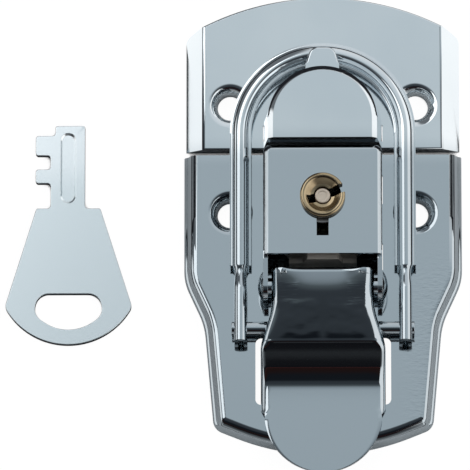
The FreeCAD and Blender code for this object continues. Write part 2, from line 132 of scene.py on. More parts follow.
def fillRamp(ramp, stops):
    while len(ramp.elements) < len(stops):
        ramp.elements.new(0.5)
    for element, (place, colour) in zip(ramp.elements, stops):
        element.position = place
        element.color = (*colour, 1.0)


def newFinish(name):
    material = bpy.data.materials.new(name)
    material.use_nodes = True
    tree = material.node_tree
    tree.nodes.clear()
    start = Wire(tree)
    place = Wire(tree, start.node("ShaderNodeTexCoord").socket.node.outputs["Object"])
    return material, start, place


def wireOut(start, surface, kind="ShaderNodeOutputMaterial"):
    out = start.tree.nodes.new(kind)
    start.tree.links.new(surface.socket, out.inputs[0])


# Camera, at the photograph's angle
view = {"photoPixels": 470, "pixelsPerMm": 5.79, "middle": (-15.2, -3.25, 0.0), "elevation": 78.0,
        "lean": 0.9, "distance": 1400.0, "sensor": 36.0}


def addCamera():  # leans a little to the right, and keeps the latch's own Y upright in the picture
    lift, lean = math.radians(view["elevation"]), math.radians(view["lean"])
    away = Vector((math.sin(lean), -math.cos(lift), math.sin(lift))).normalized()
    right = Vector((0, 1, 0)).cross(away).normalized()
    place = Vector(view["middle"]) * mm + away * view["distance"] * mm
    turn = Matrix((right, away.cross(right), away)).transposed()
    bpy.ops.object.camera_add(location=place, rotation=turn.to_euler())
    camera = bpy.context.object
    seen = view["photoPixels"] / view["pixelsPerMm"]
    camera.data.sensor_width = view["sensor"]
    camera.data.lens = view["sensor"] * view["distance"] / seen
    camera.data.clip_start = 0.01
    camera.data.clip_end = 20.0
    bpy.context.scene.camera = camera


# Studio round the latch. The angle runs from the keeper's horizon (0) over the top (90) to the lever's
# horizon (180): pale behind, grey-blue overhead, dark before it, with a narrow red band for the lever's
# step. White cards stand left and right.
studio = {"overTheTop": [(0.0, (0.80, 0.80, 0.80)), (30.0, (0.86, 0.89, 0.92)), (66.0, (0.74, 0.79, 0.83)),
                         (78.0, (0.62, 0.69, 0.73)), (86.0, (0.42, 0.47, 0.51)), (94.0, (0.13, 0.15, 0.16)),
                         (103.0, (0.056, 0.064, 0.074)), (116.0, (0.045, 0.052, 0.060)),
                         (123.0, (0.012, 0.015, 0.019)), (130.0, (0.012, 0.014, 0.018)),
                         (132.0, (0.022, 0.011, 0.010)), (136.8, (0.026, 0.011, 0.010)),
                         (137.4, (0.10, 0.030, 0.026)), (137.9, (0.10, 0.030, 0.026)),
                         (138.5, (0.008, 0.008, 0.010)), (147.0, (0.011, 0.011, 0.013)),
                         (153.0, (0.12, 0.125, 0.13)), (162.0, (0.26, 0.27, 0.28)),
                         (172.0, (0.42, 0.43, 0.44)), (180.0, (0.58, 0.58, 0.58))],
          "cardBright": 1.25, "frontShift": 0.36, "rightCard": (0.58, 0.68), "rightLean": 0.7,
          "rightEnd": (-0.82, -0.62), "leftCard": (0.90, 0.94), "leftLean": 0.2, "leftShade": (0.035, 0.20),
          "shadeEnd": (-0.1, 0.1), "shadeShare": 0.86, "shadeColour": (0.06, 0.07, 0.08)}


def lightStudio():
    world = bpy.data.worlds.new("studio")
    bpy.context.scene.world = world
    world.use_nodes = True
    tree = world.node_tree
    tree.nodes.clear()
    start = Wire(tree)
    x, y, z = start.node("ShaderNodeTexCoord").axes()
    angle = start.math("ARCTAN2", z, y) * (180 / math.pi)
    stops = [(place / 180, colour) for place, colour in studio["overTheTop"]]
    sky = start.node("ShaderNodeValToRGB", {"stops": stops}, {0: angle / 180})
    front = (0 - y).atLeast(0.0).atMost(studio["frontShift"])
    rightCard = (x + front * studio["rightLean"]).rise(*studio["rightCard"]) * y.rise(*studio["rightEnd"])
    leftCard = (front * studio["leftLean"] - x).rise(*studio["leftCard"])
    shade = (0 - x).rise(*studio["leftShade"]) * y.rise(*studio["shadeEnd"]) * studio["shadeShare"]
    room = sky.blendTo(studio["shadeColour"], shade)
    room = room.blendTo([studio["cardBright"]] * 3, rightCard.atLeast(leftCard))
    lit = start.node("ShaderNodeBackground", None, {0: room, 1: 1.0})
    white = start.node("ShaderNodeBackground", None, {0: (1.0, 1.0, 1.0, 1.0), 1: 1.0})
    seen = start.node("ShaderNodeLightPath")
    mixed = start.node("ShaderNodeMixShader", None, {0: seen, 1: lit, 2: white})
    wireOut(start, mixed, "ShaderNodeOutputWorld")


def addLamp(name, place, size, power):
    bpy.ops.object.light_add(type="AREA", location=place)
    lamp = bpy.context.object
    lamp.name = name
    lamp.data.size = size
    lamp.data.energy = power
    lamp.rotation_euler = (-Vector(place)).to_track_quat("-Z", "Y").to_euler()


# Floor: white to the camera, with painted shadow (the dark card colour) in the narrow gaps, and for
# reflections with dark cards at the sides and behind
floorLook = {"size": 4.0, "flagX": 25.5, "flagY": 40.0, "flagSoft": 1.5, "flagAndGapShadow": (0.03, 0.03, 0.035, 1.0),
             "cloth": (0.82, 0.82, 0.82, 1.0), "shadowReach": 2.0, "openFrom": (0.30, 0.46), "glow": 1.07,
             "glowShare": 0.9}


def addFloor():
    bpy.ops.mesh.primitive_plane_add(size=floorLook["size"], location=(0, 0, 0))
    floor = bpy.context.object
    floor.name = "floor"
    material, start, place = newFinish("paleFloor")
    x, y, z = place.axes()
    path = start.node("ShaderNodeLightPath").socket.node
    camera = Wire(start.tree, path.outputs["Is Camera Ray"])
    glossy = Wire(start.tree, path.outputs["Is Glossy Ray"])
    flagX, flagY, soft = floorLook["flagX"], floorLook["flagY"], floorLook["flagSoft"]
    beside = abs(x).rise(flagX * mm, (flagX + soft) * mm)
    beside = beside.atLeast(y.rise(flagY * mm, (flagY + soft) * mm))
    reach = floorLook["shadowReach"] * mm
    # painted shadow: where the latch hems the floor in, it takes the dark card colour and loses its white
    # glow, for every ray
    near = start.node("ShaderNodeAmbientOcclusion", {"samples": 16}, {"Distance": reach}, 1)
    clear = near.rise(*floorLook["openFrom"])
    cloth = start.node("ShaderNodeBsdfDiffuse", None, {0: floorLook["cloth"]})
    flagAndGapShadow = start.node("ShaderNodeBsdfDiffuse", None, {0: floorLook["flagAndGapShadow"]})
    glow = start.node("ShaderNodeEmission", None, {0: (1.0, 1.0, 1.0, 1.0), 1: floorLook["glow"]})
    dark = (glossy * beside).atLeast(1 - clear)
    mixed = start.node("ShaderNodeMixShader", None, {0: dark, 1: cloth, 2: flagAndGapShadow})
    seen = camera * clear * floorLook["glowShare"]
    mixed = start.node("ShaderNodeMixShader", None, {0: seen, 1: mixed, 2: glow})
    wireOut(start, mixed)
    floor.data.materials.append(material)


# Finishes
def closeFinish(material, start, sockets):
    wireOut(start, start.node("ShaderNodeBsdfPrincipled", None, sockets))
    return material


def stretched(start, place, scale):
    return start.node("ShaderNodeMapping", None, {0: place, 3: scale})


def grain(start, place, scale, detail=2.0, rough=0.5):
    inputs = {"Vector": place, "Scale": scale, "Detail": detail, "Roughness": rough}
    return start.node("ShaderNodeTexNoise", None, inputs)


def bumped(start, height, depth):
    return start.node("ShaderNodeBump", None, {"Strength": 1.0, "Distance": depth * mm, "Height": height})


# Plating: orange peel and fine scratches, and painted shade: a darker colour (low) towards the lever that
# stands in for a darker reflection there. The plates' right front corner has more peel. The lever has
# drawing marks, in bands of (start, end, softness) along Y and across X.
plated = {"bright": (0.75, 0.79, 0.81), "shade": (0.68, 0.73, 0.76), "low": (0.47, 0.52, 0.55),
          "cloud": 35.0, "cloudFrom": (0.35, 0.75), "paintedShadeFrom": (8, 14), "paintedShadeOn": (14, 36),
          "peelScale": 900.0, "peelDepth": 0.0012, "scratchScale": (160.0, 9000.0, 3000.0),
          "scratchFrom": (0.62, 0.8), "scratchHeight": 0.15, "scratchRough": (0.6, 0.85), "rough": 0.05,
          "cornerX": (11, 21), "cornerY": (2, 18), "cornerScale": (900.0, 2000.0, 900.0),
          "flatFrom": (2.3, 2.95),
          "streakY": (14.5, 17.4, 1.0), "streakX": (4.6, 7.2, 0.9), "streakScale": (350.0, 2600.0, 100.0),
          "streakHeight": 22.0, "swellY": (18.0, 22.0, 1.8), "swellX": (1.5, 6.0, 2.0),
          "swellScale": (260.0, 420.0, 100.0), "swellHeight": 150.0}


def lengths(name):
    return [value * mm for value in plated[name]]


def makePlated(name, peelMore=0.0, marks=False):
    material, start, place = newFinish(name)
    x, y, z = place.axes()
    cloud = grain(start, place, plated["cloud"], 4.0)
    tone = start.paint(plated["bright"]).blendTo(plated["shade"], cloud.rise(*plated["cloudFrom"]))
    # painted shade: the colour turns to the low tone towards the lever's end, for a darker reflection there
    low = (1 - y.rise(*lengths("paintedShadeFrom"))) * 0.9 + (1 - y.rise(*lengths("paintedShadeOn"))) * 0.1
    tone = tone.blendTo(plated["low"], low)
    peel = grain(start, place, plated["peelScale"], 1.5)
    scratches = grain(start, stretched(start, place, plated["scratchScale"]), 1.0, 3.0, 0.7)
    height = peel + scratches.rise(*plated["scratchFrom"]) * plated["scratchHeight"]
    if peelMore > 0:
        corner = x.rise(*lengths("cornerX")) * (0 - y).rise(*lengths("cornerY"))
        coarse = grain(start, stretched(start, place, plated["cornerScale"]), 1.0, 3.0, 0.6)
        height = (height + coarse * corner * peelMore) * z.rise(*lengths("flatFrom"))
    if marks:
        for kind, detail, rough in (("streak", 2.0, 0.6), ("swell", 1.0, 0.5)):
            band = (0 - y).between(*lengths(kind + "Y")) * abs(x).between(*lengths(kind + "X"))
            wave = grain(start, stretched(start, place, plated[kind + "Scale"]), 1.0, detail, rough)
            height = height + wave * band * plated[kind + "Height"]
    rough = plated["rough"] + cloud * 0.03 + scratches.rise(*plated["scratchRough"]) * 0.08
    return closeFinish(material, start, {"Base Color": tone, "Metallic": 1.0, "Roughness": rough,
                                         "Normal": bumped(start, height, plated["peelDepth"])})


brass = {"bright": (0.41, 0.325, 0.205), "dull": (0.31, 0.235, 0.145), "axisY": 0.9, "ring": 5200.0,
         "ringWave": 400.0, "ringSway": 6, "cloud": 260.0, "cloudFrom": (0.45, 0.8), "rough": 0.16,
         "depth": 0.0012}


def makeBrass(name):  # turned: fine rings round the plug's axis
    material, start, place = newFinish(name)
    x, y, z = place.axes()
    across = y - brass["axisY"] * mm
    radius = start.math("SQRT", x * x + across * across)
    sway = grain(start, place, brass["ringWave"]) * brass["ringSway"]
    rings = start.math("SINE", radius * brass["ring"] * 2 + sway)
    cloud = grain(start, place, brass["cloud"], 3.0)
    tone = start.paint(brass["bright"]).blendTo(brass["dull"], cloud.rise(*brass["cloudFrom"]))
    rough = brass["rough"] + cloud * 0.10
    return closeFinish(material, start, {"Base Color": tone, "Metallic": 1.0, "Roughness": rough,
                                         "Normal": bumped(start, rings, brass["depth"])})


dull = {"cloud": 220.0, "strokeScale": (300.0, 5200.0, 3000.0), "toneFrom": (0.4, 0.7), "strokeRough": 0.15,
        "depth": 0.004}


def makeDull(name, bright, shade, rough, metal=1.0):
    material, start, place = newFinish(name)
    cloud = grain(start, place, dull["cloud"], 4.0, 0.6)
    strokes = grain(start, stretched(start, place, dull["strokeScale"]), 1.0, 3.0, 0.6)
    tone = start.paint(bright).blendTo(shade, (cloud * 0.6 + strokes * 0.4).rise(*dull["toneFrom"]))
    return closeFinish(material, start, {"Base Color": tone, "Metallic": metal,
                                         "Roughness": rough + strokes * dull["strokeRough"],
                                         "Normal": bumped(start, strokes + cloud, dull["depth"])})


def makeAllFinishes():
    return {"plated_steel_plate": makePlated("platedPlates", 32.0),
            "plated_steel": makePlated("platedSteel"),
            "plated_steel_lever": makePlated("platedLever", 0.0, True),
            "brass_plug": makeBrass("turnedBrass"),
            "spring_steel": makeDull("springSteel", (0.50, 0.50, 0.50), (0.36, 0.36, 0.37), 0.25),
            "bare_steel": makeDull("bareSteel", (0.42, 0.40, 0.37), (0.27, 0.25, 0.23), 0.32),
            "key_steel": makeSatin("satinKey")}


# Modelling helpers
def workOn(piece):
    bpy.ops.object.select_all(action="DESELECT")
    piece.select_set(True)
    bpy.context.view_layer.objects.active = piece


def editOn(piece):
    workOn(piece)
    bpy.ops.object.mode_set(mode="EDIT")


def editOff():
    bpy.ops.object.mode_set(mode="OBJECT")


def pick(piece, kind, test):  # selects the verts, edges or faces that pass a test, in edit mode
    bpy.ops.mesh.select_all(action="DESELECT")
    bpy.ops.mesh.select_mode(type={"verts": "VERT", "edges": "EDGE", "faces": "FACE"}[kind])
    shape = bmesh.from_edit_mesh(piece.data)
    found = [item for item in getattr(shape, kind) if test(item)]
    for item in found:
        item.select = True
    shape.select_flush_mode()
    bmesh.update_edit_mesh(piece.data)
    return len(found)


def moveVerts(piece, change, chosen=False):  # calls change on every vertex, or on the selected ones
    shape = bmesh.from_edit_mesh(piece.data)
    for vert in [v for v in shape.verts if v.select or not chosen]:
        change(vert)
    bmesh.update_edit_mesh(piece.data)


def placed(edge):  # an edge's middle in millimetres
    return (edge.verts[0].co + edge.verts[1].co) / (2 * mm)


def bend(edge):  # degrees between the two faces of an edge
    return math.degrees(edge.calc_face_angle(0.0)) if len(edge.link_faces) == 2 else 0.0


def nearRing(edge, spot, radius, z):  # an edge on a ring of this radius and height
    place = placed(edge)
    away = math.hypot(place.x - spot.x, place.y - spot.y)
    return abs(away - radius) < 0.05 and abs(place.z - z) < hair


def roundOff(piece, width, segments, test, clamp=True):  # bevels the edges that pass a test
    if pick(piece, "edges", test):
        bpy.ops.mesh.bevel(offset_type="OFFSET", offset=width * mm, segments=segments, affect="EDGES",
                           clamp_overlap=clamp)


def extrudeBy(x, y, z):
    bpy.ops.mesh.extrude_region_move(TRANSFORM_OT_translate={"value": (x * mm, y * mm, z * mm)})


def cleanCopy(node, name):  # a merged copy of a CAD piece, left in edit mode
    piece = bpy.data.objects.new(name, frame["nodes"][node].data.copy())
    bpy.context.scene.collection.objects.link(piece)
    editOn(piece)
    bpy.ops.mesh.select_all(action="SELECT")
    bpy.ops.mesh.remove_doubles(threshold=0.002 * mm)
    bpy.ops.mesh.dissolve_limited(angle_limit=math.radians(0.6))
    return piece


def applyAll(piece):
    workOn(piece)
    for modifier in list(piece.modifiers):
        bpy.ops.object.modifier_apply(modifier=modifier.name)


def faceOut(piece):  # all faces one way, with the highest face looking up
    editOn(piece)
    bpy.ops.mesh.select_all(action="SELECT")
    bpy.ops.mesh.remove_doubles(threshold=0.001 * mm)
    bpy.ops.mesh.normals_make_consistent(inside=False)
    shape = bmesh.from_edit_mesh(piece.data)
    highest = max(shape.faces, key=lambda f: f.calc_center_median().z * abs(f.normal.z))
    if highest.normal.z < 0:
        bpy.ops.mesh.flip_normals()
    editOff()


def addSheet(piece, thickness):  # gives a surface its sheet, on the inside
    sheet = piece.modifiers.new("sheet", "SOLIDIFY")
    sheet.thickness = thickness * mm
    sheet.offset = -1
    sheet.use_even_offset = False
    sheet.use_quality_normals = True
    applyAll(piece)


def cutAway(piece, tool, solver="EXACT"):
    cut = piece.modifiers.new("cut", "BOOLEAN")
    cut.operation = "DIFFERENCE"
    cut.solver = solver
    cut.object = tool
    applyAll(piece)
    bpy.data.objects.remove(tool)


def drill(piece, centre, radius, solver="EXACT"):  # a round hole right through, along X
    bpy.ops.mesh.primitive_cylinder_add(vertices=48, radius=radius * mm, depth=0.1, location=centre * mm,
                                        rotation=(0, math.pi / 2, 0))
    cutAway(piece, bpy.context.object, solver)


def polish(piece, edge=0.05, sharp=35.0, tidy=True):
    fine = piece.modifiers.new("fineEdges", "BEVEL")
    fine.width = edge * mm
    fine.segments = 2
    fine.limit_method = "ANGLE"
    fine.angle_limit = math.radians(sharp)
    applyAll(piece)
    if tidy:
        editOn(piece)
        bpy.ops.mesh.select_all(action="SELECT")
        bpy.ops.mesh.dissolve_degenerate(threshold=0.0005 * mm)
        editOff()
    bpy.ops.object.shade_smooth_by_angle(angle=math.radians(50))
    even = piece.modifiers.new("evenNormals", "WEIGHTED_NORMAL")
    even.keep_sharp = True
    applyAll(piece)


def finishPiece(piece, body, slotName, *nodes):
    piece.data.materials.clear()
    piece.data.materials.append(finishes[slotName])
    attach(piece, body)
    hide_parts(*nodes)


def smooth(value):  # from 0 to 1, with soft ends
    value = max(0.0, min(1.0, value))
    return value * value * (3 - 2 * value)


def follow(points, y):  # height at y along a line of (y, height) points that runs towards -Y
    for (y0, z0), (y1, z1) in zip(points, points[1:]):
        if y >= y1:
            return z0 + (z1 - z0) * (y0 - y) / (y0 - y1)
    return points[-1][1]


# Pressed plates. The cut rows of the skirt and of the screw seats are moved onto rounder profiles, which
# run from the foot inwards (distance, height) and from the bore outwards.
plates = {"top": 3.0, "sheet": 0.8, "seatRadius": 3.85, "bore": 2.2, "screwX": 16.0, "keeperScrewY": 19.0,
          "seatRows": [2.28, 2.4, 2.55, 2.75, 3.0, 3.25, 3.5, 3.7], "seatDrop": 2.1, "seatEdge": 0.12,
          "skirtRun": 1.9, "skirtTilt": (0.45, 0.62),
          "skirtRows": [0.08, 0.17, 0.27, 0.42, 0.57, 0.68, 0.84, 1.0, 1.08, 1.15, 1.22, 1.32, 1.42],
          "rimWidth": 0.45, "keeperRim": 0.3, "partingY": 10.2,
          "sideProfile": [(0.0, 0.0), (0.15, 0.62), (0.24, 0.74), (0.60, 1.01), (0.68, 1.15), (1.0, 1.84),
                          (1.10, 2.10), (1.22, 2.48), (1.32, 2.62), (1.62, 2.87), (1.78, 2.93), (1.93, 2.96),
                          (2.4, 3.0), (99.0, 3.0)],
          "endProfile": [(0.0, 0.0), (0.17, 0.65), (0.6, 1.95), (0.8, 2.22), (1.0, 2.40), (1.3, 2.62),
                         (1.6, 2.78), (1.9, 2.90), (2.2, 2.97), (2.5, 3.0), (99.0, 3.0)],
          "keeperFlatX": 20, "keeperArcY": 31, "keeperFront": 11.3, "fineEdge": 0.04}


def seatAway(spot, screwY):
    return math.hypot(abs(spot.x) - plates["screwX"], spot.y - screwY)


def along(profile, run):  # height on a profile of (distance, height)
    for (d0, z0), (d1, z1) in zip(profile, profile[1:]):
        if run <= d1:
            return z0 + (z1 - z0) * max(0.0, run - d0) / (d1 - d0)
    return profile[-1][1]


def cutRows(plate, heights, test):
    for height in heights:
        pick(plate, "faces", test)
        bpy.ops.mesh.bisect(plane_co=(0, 0, height * mm), plane_no=(0, 0, 1))


def isSkirt(face):  # slopes as the skirt does and looks outwards
    low, high = plates["skirtTilt"]
    return low < face.normal.z < high and face.calc_center_median().xy.dot(face.normal.xy) > 6 * mm


def looksUp(vert):
    return any(face.normal.z > 0.1 for face in vert.link_faces)


def onTop(edge):
    return placed(edge).z > plates["top"] - hair


def seatHeight(away):  # a quarter round from the bore to the flat
    edge = plates["seatRadius"] + plates["seatEdge"]
    share = min(1.0, (edge - away) / (edge - plates["bore"]))
    return plates["top"] - plates["seatDrop"] * (1 - math.sqrt(max(0.0, 1 - share * share)))


def roundSeats(plate, screwY):
    depth = plates["top"] - plates["sheet"]
    wide = plates["seatRadius"] - plates["bore"]
    heights = [plates["sheet"] + (r - plates["bore"]) / wide * depth for r in plates["seatRows"]]
    cutRows(plate, heights, lambda f: 0.1 < f.normal.z < 0.9 and
            seatAway(f.calc_center_median() / mm, screwY) < plates["seatRadius"])
    pick(plate, "edges", lambda e: bend(e) > 15 and placed(e).z > plates["top"] - 0.05 and
         abs(seatAway(placed(e), screwY) - plates["seatRadius"]) < 0.1)
    bpy.ops.mesh.bevel(offset_type="OFFSET", offset=plates["seatEdge"] * mm, segments=2, affect="EDGES")

    def settle(vert):
        away = seatAway(vert.co / mm, screwY)
        if looksUp(vert) and plates["bore"] - hair < away < plates["seatRadius"] + plates["seatEdge"]:
            vert.co.z = seatHeight(away) * mm

    moveVerts(plate, settle)


def footLine(plate):  # segments of the skirt's foot as (start, end) in mm
    shape = bmesh.from_edit_mesh(plate.data)
    found = []
    for edge in shape.edges:
        if abs(placed(edge).z) < tiny and any(isSkirt(f) for f in edge.link_faces):
            found.append([Vector((v.co.x, v.co.y)) / mm for v in edge.verts])
    return found


def nearest(spot, line):  # distance to the line and the outward way there
    best = None
    for start, end in line:
        run = end - start
        share = max(0.0, min(1.0, (spot - start).dot(run) / run.length_squared))
        away = (spot - start - run * share).length
        if best is None or away < best[0]:
            best = (away, Vector((run.y, -run.x)).normalized(), start)
    away, way, start = best
    return away, way if way.dot(start) > 0 else -way


def shapeSkirt(plate):
    line = footLine(plate)
    rows = [d / plates["skirtRun"] * plates["top"] for d in plates["skirtRows"]]
    cutRows(plate, rows, isSkirt)
    pick(plate, "edges", lambda e: bend(e) > 15 and onTop(e) and any(isSkirt(f) for f in e.link_faces))
    bpy.ops.mesh.bevel(offset_type="OFFSET", offset=plates["rimWidth"] * mm, segments=5, affect="EDGES",
                       clamp_overlap=False)
    reach = plates["skirtRun"] + plates["rimWidth"] + 0.1

    def settle(vert):
        away, way = nearest(vert.co.xy / mm, line)
        if looksUp(vert) and away < reach:
            end = smooth((-way.y - 0.5) / 0.4)  # 0 at the sides and 1 at the lever's end
            side = along(plates["sideProfile"], away)
            vert.co.z = (side + (along(plates["endProfile"], away) - side) * end) * mm

    moveVerts(plate, settle)
    print("skirt follows", len(line), "foot edges")


def makePlate(node, name, screwY, isBase):
    plate = cleanCopy(node, name)
    roundSeats(plate, screwY)
    if isBase:
        shapeSkirt(plate)
        roundOff(plate, plates["keeperRim"], 4, lambda e: bend(e) > 60 and onTop(e) and
                 abs(placed(e).y - plates["partingY"]) < hair)
    else:
        roundOff(plate, plates["keeperRim"], 5, lambda e: bend(e) > 15 and onTop(e) and
                 (abs(placed(e).x) > plates["keeperFlatX"] or placed(e).y > plates["keeperArcY"] or
                  placed(e).y < plates["keeperFront"]), False)
    editOff()
    polish(plate, plates["fineEdge"])
    finishPiece(plate, "root", "plated_steel_plate", node)


case = {"top": 12.5, "edge": 0.8, "round": 0.3, "sideX": 9, "backY": 8.8}


def makeLockCase():
    shell = cleanCopy("lock_case", "lockCase")
    low = case["top"] - case["edge"]
    roundOff(shell, case["round"], 3, lambda e: 25 < bend(e) < 60 and placed(e).z > low and
             (abs(placed(e).x) > case["sideX"] or placed(e).y > case["backY"]))
    editOff()
    polish(shell)
    finishPiece(shell, "root", "plated_steel", "lock_case")


dome = {"top": 12.0, "edge": 0.85, "round": 0.36, "frontY": 12.4, "frontMove": 0.80, "tabStart": 24.9,
        "tabLow": 9.8, "tabHigh": 10.0, "tabRound": 0.38}


def makeCatchDome():
    shell = cleanCopy("catch_dome", "catchDome")
    pick(shell, "verts", lambda v: v.co.z > (dome["top"] - hair) * mm and v.co.y < dome["frontY"] * mm)
    bpy.ops.transform.translate(value=(0, -dome["frontMove"] * mm, 0))
    roundOff(shell, dome["tabRound"], 4, lambda e: bend(e) > 50 and placed(e).y > dome["tabStart"] and
             dome["tabLow"] < placed(e).z < dome["tabHigh"], False)
    low = dome["top"] - dome["edge"]
    roundOff(shell, dome["round"], 3, lambda e: 20 < bend(e) < 60 and placed(e).z > low)
    editOff()
    polish(shell)
    finishPiece(shell, "root", "plated_steel", "catch_dome")


# Bail: a half-round ridge with a thin flange each side, swept round the dome, on two channel legs
bail = {"ridge": 1.35, "flange": 0.5, "footRound": 0.25, "sheet": 0.6, "flangeTop": 6.5, "arcSteps": 56,
        "sectionSteps": 44, "stepY": -10.0, "endRound": 1.6, "pinPlay": 0.05, "fineEdge": 0.07,
        "legs": [(-10.4, 1.12, 7.70), (-10.9, 0.97, 7.6), (-11.7, 0.96, 7.7), (-12.6, 1.01, 8.0),
                 (-13.5, 1.08, 8.32), (-14.2, 1.10, 8.40), (-21.7, 1.10, 8.40), (-22.1, 1.10, 8.40),
                 (-22.5, 1.10, 8.40), (-22.85, 1.10, 8.40), (-23.1, 1.10, 8.40), (-23.25, 1.10, 8.40),
                 (-23.3, 1.10, 8.40)],
        "wallFoot": [(-10.0, 6.35), (-10.9, 6.0), (-14.2, 4.4), (-40.0, 4.4)]}


def legFoot(y, endY):  # the wall's lower edge, which rises in a curve at the leg's end
    lift = follow(bail["wallFoot"], y)
    into = endY + bail["endRound"] - y
    if into > 0:
        lift += bail["endRound"] - math.sqrt(max(0.0, bail["endRound"] ** 2 - into ** 2))
    return lift


def makeBail():
    low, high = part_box("bail")
    outer = high.x / mm
    middle = high.y / mm - outer
    legX = outer - bail["flange"] - bail["ridge"]
    top = bail["flangeTop"]
    bpy.ops.mesh.primitive_circle_add(vertices=bail["sectionSteps"], radius=bail["ridge"] * mm,
                                      location=(legX * mm, middle * mm, top * mm),
                                      rotation=(math.pi / 2, 0, 0))
    hoop = bpy.context.object
    hoop.name = "bailHoop"
    bpy.ops.object.transform_apply()
    editOn(hoop)
    near = tiny * mm
    pick(hoop, "verts", lambda v: v.co.z < top * mm - near)
    bpy.ops.mesh.delete(type="VERT")
    for side in (-1, 1):
        foot = (legX + side * bail["ridge"]) * mm
        pick(hoop, "verts", lambda v: abs(v.co.x - foot) < near)
        extrudeBy(side * bail["flange"], 0, 0)
        pick(hoop, "verts", lambda v: abs(v.co.x - foot) < near)
        bpy.ops.mesh.bevel(affect="VERTICES", offset=bail["footRound"] * mm, segments=4)
    bpy.ops.mesh.select_all(action="SELECT")
    bpy.ops.mesh.spin(steps=bail["arcSteps"], angle=-math.pi / 2, center=(0, middle * mm, 0), axis=(0, 0, 1))
    pick(hoop, "verts", lambda v: abs(v.co.y - middle * mm) < near and v.co.x > legX * mm - 3 * mm)
    extrudeBy(0, bail["stepY"] - middle, 0)
    lastY, lastHalf, lastTurn = bail["stepY"], bail["ridge"], top
    inner = (bail["ridge"] + hair) * mm
    pick(hoop, "verts", lambda v: abs(v.co.y - lastY * mm) < near and abs(v.co.x - legX * mm) < inner)
    for y, half, crown in bail["legs"]:
        turn = crown - half
        extrudeBy(0, y - lastY, turn - lastTurn)
        grow = half / lastHalf
        bpy.ops.transform.resize(value=(grow, 1, grow), center_override=(legX * mm, y * mm, turn * mm))
        lastY, lastHalf, lastTurn = y, half, turn
    pick(hoop, "edges", lambda e: len(e.link_faces) == 1 and placed(e).y < bail["stepY"] - hair and
         abs(e.verts[0].co.y - e.verts[1].co.y) > 0.03 * mm)
    extrudeBy(0, 0, -1)

    def settle(vert):
        vert.co.z = legFoot(vert.co.y / mm, low.y / mm) * mm

    moveVerts(hoop, settle, True)
    editOff()
    whole = hoop.modifiers.new("otherSide", "MIRROR")
    whole.merge_threshold = tiny * mm
    applyAll(hoop)
    faceOut(hoop)
    addSheet(hoop, bail["sheet"])
    pinLow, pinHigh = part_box("bail_pin")
    drill(hoop, (pinLow + pinHigh) / 2 / mm, (pinHigh.z - pinLow.z) / 2 / mm + bail["pinPlay"])
    polish(hoop, bail["fineEdge"])
    finishPiece(hoop, "bail", "plated_steel", "bail")


# Lever: a dished face with rolled rims, a crease, a steep step and a flat tongue. A kink is the run from
# the heel, the change of slope and its softness.
lever = {"sheet": 0.9, "kinks": [(0.0, 0.06, 0.01), (3.3, 0.2436, 1.2), (12.1, 0.3750, 0.8),
                                 (15.9, -0.1350, 0.15), (18.55, -0.5436, 0.6)],
         "crease": -23.7, "foot": -30.4, "sag": 0.12, "creaseRidge": 0.06, "ridgeHalf": 0.25,
         "topHalf": 8.8, "flare": (-16.8, -25.2), "shoulder": (-34.6, -35.9), "tongueHalf": 10.1,
         "roll": 1.95, "rollAtStep": 0.95, "rollRows": (-23.3, -24.9), "rollAgain": (-26.0, -30.5),
         "rollMore": 0.42, "rollSteps": 8, "sideShift": 1.1, "cornerLift": 0.30, "cornerReach": 0.35,
         "wallFoot": [(-11.0, 5.9), (-16.1, 5.8), (-18.15, 4.1), (-22.45, 3.8), (-31.0, 3.7), (-36.0, 4.6),
                      (-50.0, 4.6)],
         "across": 28, "creaseRows": (0.9, -0.8), "stepRows": (-27.4, -28.1), "footRows": (1.2, -1.2),
         "rowCounts": [26, 14, 6, 5, 5, 10, 4, 6], "tipTurns": range(5, 88, 4),
         "bores": (("pivot_rivets", 1.55), ("bail_pin", 1.22))}


def blend(y, ends, first, last):  # from first to last while y runs from one end to the other
    return first + (last - first) * smooth((ends[0] - y) / (ends[0] - ends[1]))


def leverHalf(y, widest, tip):  # half the lever's width
    half = blend(y, lever["flare"], lever["topHalf"], widest)
    half += blend(y, lever["shoulder"], 0.0, lever["tongueHalf"] - widest)
    middle = tip + lever["tongueHalf"]
    if y < middle:
        half = math.sqrt(max(0.0, lever["tongueHalf"] ** 2 - (middle - y) ** 2))
    return half


def leverHeight(y, heel):  # along the middle
    drop = 0.0
    for start, turn, soft in lever["kinks"]:
        run = heel[0] - y - start
        drop += turn * (run + math.sqrt(run * run + soft * soft)) / 2
    share = (lever["crease"] - y) / (lever["crease"] - lever["foot"])
    if 0 < share < 1:
        drop += lever["sag"] * math.sin(math.pi * share)
    ridge = (y - lever["crease"]) / lever["ridgeHalf"]
    return heel[1] - drop + lever["creaseRidge"] * math.exp(-ridge * ridge)


def leverRoll(y):  # radius of the rolled rim
    roll = blend(y, lever["rollRows"], lever["roll"], lever["rollAtStep"])
    roll += blend(y, lever["rollAgain"], 0.0, lever["rollMore"])
    return blend(y, lever["shoulder"], roll, 0.0)


def leverRows(heelY, tip):  # closer together where the lever bends
    crease, foot = lever["crease"], lever["foot"]
    marks = [heelY, *(crease + shift for shift in lever["creaseRows"]), *lever["stepRows"],
             *(foot + shift for shift in lever["footRows"]), *lever["shoulder"]]
    rows = []
    for first, last, count in zip(marks, marks[1:], lever["rowCounts"]):
        rows += [first + (last - first) * k / count for k in range(count)]
    middle = tip + lever["tongueHalf"]
    return rows + [middle - lever["tongueHalf"] * math.sin(math.radians(a)) for a in lever["tipTurns"]]


